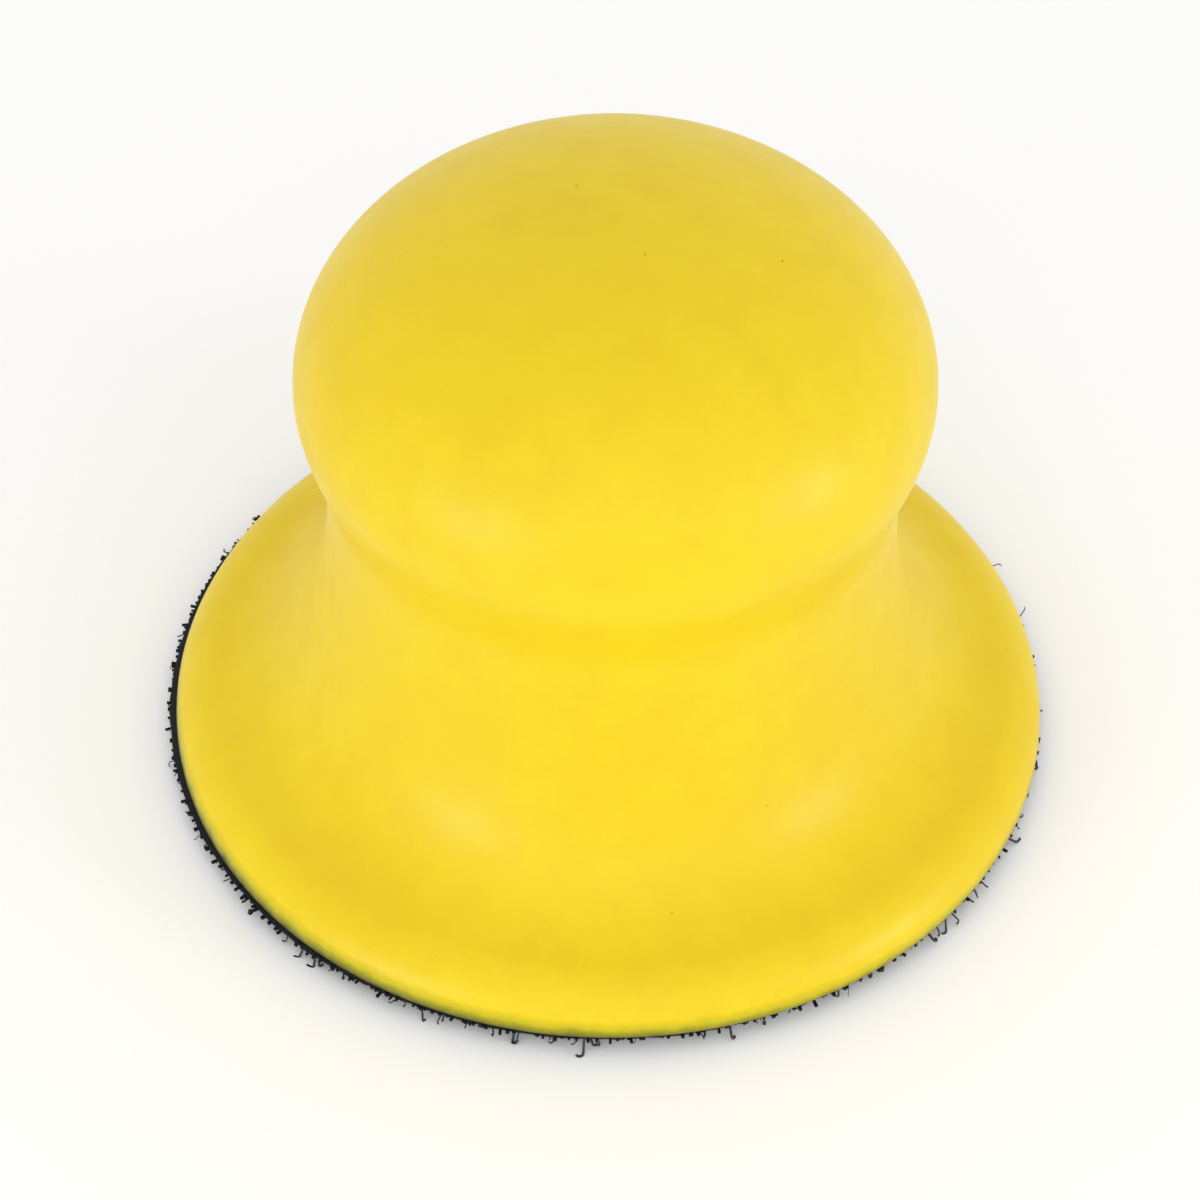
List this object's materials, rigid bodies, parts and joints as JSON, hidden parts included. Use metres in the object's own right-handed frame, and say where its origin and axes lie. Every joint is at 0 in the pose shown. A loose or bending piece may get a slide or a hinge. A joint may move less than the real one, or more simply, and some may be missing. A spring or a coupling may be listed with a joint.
{
  "type": "round hand float",
  "caption": "Round palm-held foam float: a mushroom knob on a flared flange, with a disc of hook tape under it that holds stick-on scouring pads.",
  "frame": {"origin": "centre of the plane of the hook tips, which is the face that meets the pad or the table", "axes": "+Z along the axis of revolution, from the hook face up to the crown of the knob; +X and +Y are alike"},
  "size_m": [0.0984, 0.0984, 0.0732],
  "materials": {
    "foam": "moulded integral-skin polyurethane foam, satin-matte yellow skin",
    "adhesive": "cured contact adhesive, dull olive brown",
    "hook_backing": "dried resin coat on the back of the tape, black",
    "hook_cloth": "tight woven nylon tape, black, cut edge with fine fray",
    "hooks": "extruded nylon monofilament hooks, black, slight gloss"
  },
  "bodies": {
    "root": {"foam_body": "foam", "adhesive_film": "adhesive", "resin_coat": "hook_backing", "hook_weave": "hook_cloth", "hook_pile": "hooks"}
  },
  "joints": []
}
